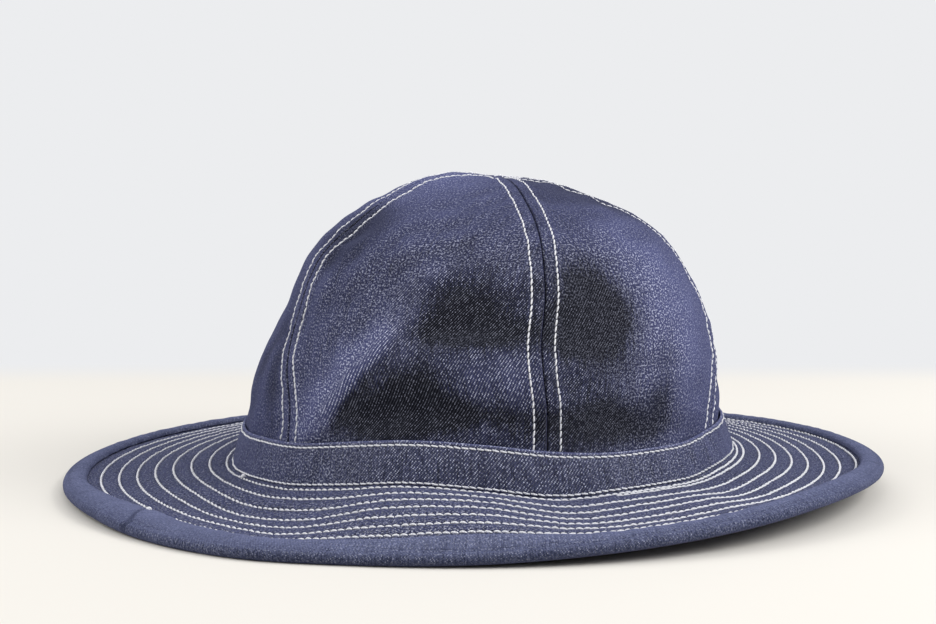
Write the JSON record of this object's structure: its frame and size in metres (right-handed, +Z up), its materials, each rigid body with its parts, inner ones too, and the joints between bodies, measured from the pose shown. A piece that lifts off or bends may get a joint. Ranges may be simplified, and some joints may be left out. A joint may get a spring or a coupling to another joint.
{
  "type": "field hat",
  "caption": "Soft denim field hat with a domed panelled crown, a flared band and a wavy stitched brim with a broad bound hem.",
  "frame": {"origin": "on the table, under the middle of the rim", "axes": "+Z up through the crown, -Y towards the front of the hat, +X to the right seen from the front"},
  "size_m": [0.326, 0.3032, 0.122],
  "materials": {
    "crown_denim": "matte",
    "band_denim": "matte",
    "brim_denim": "matte",
    "hem_denim": "matte"
  },
  "bodies": {
    "root": {"gore_1": "crown_denim", "gore_2": "crown_denim", "gore_3": "crown_denim", "gore_4": "crown_denim", "gore_5": "crown_denim", "gore_6": "crown_denim", "band": "band_denim", "brim": "brim_denim", "binding": "hem_denim"}
  },
  "joints": []
}
